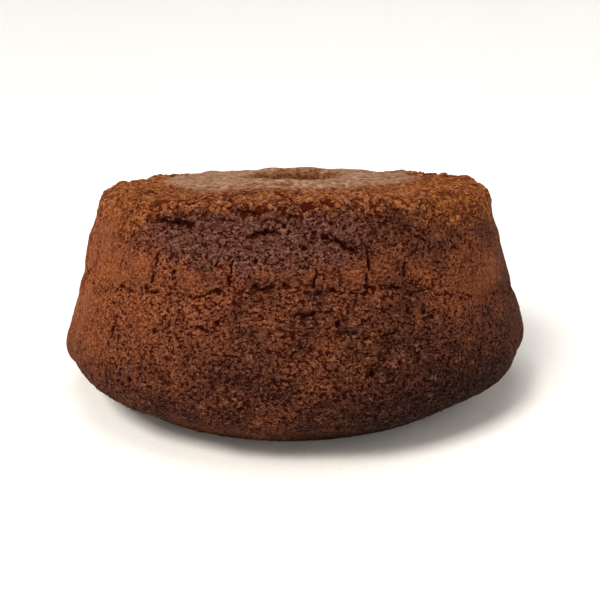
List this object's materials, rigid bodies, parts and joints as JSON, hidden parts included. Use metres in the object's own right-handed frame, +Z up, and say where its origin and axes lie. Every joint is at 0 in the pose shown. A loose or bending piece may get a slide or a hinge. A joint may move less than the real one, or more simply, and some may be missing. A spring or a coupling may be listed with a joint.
{
  "type": "chocolate ring cake",
  "caption": "Plain uncut chocolate ring cake, turned out of a tapered tube tin: crumbly browned sides, a smooth crown and a hole down the middle.",
  "frame": {"origin": "middle of the flat face that the cake rests on, on the hole's axis", "axes": "+Z up along the hole; the side with the widest torn patch of skin faces -Y; +X is to the right as seen from there"},
  "size_m": [0.2192, 0.2189, 0.0933],
  "materials": {
    "crumb": "matte, crumbly, dry"
  },
  "bodies": {
    "root": {"ring_cake": "crumb"}
  },
  "joints": []
}
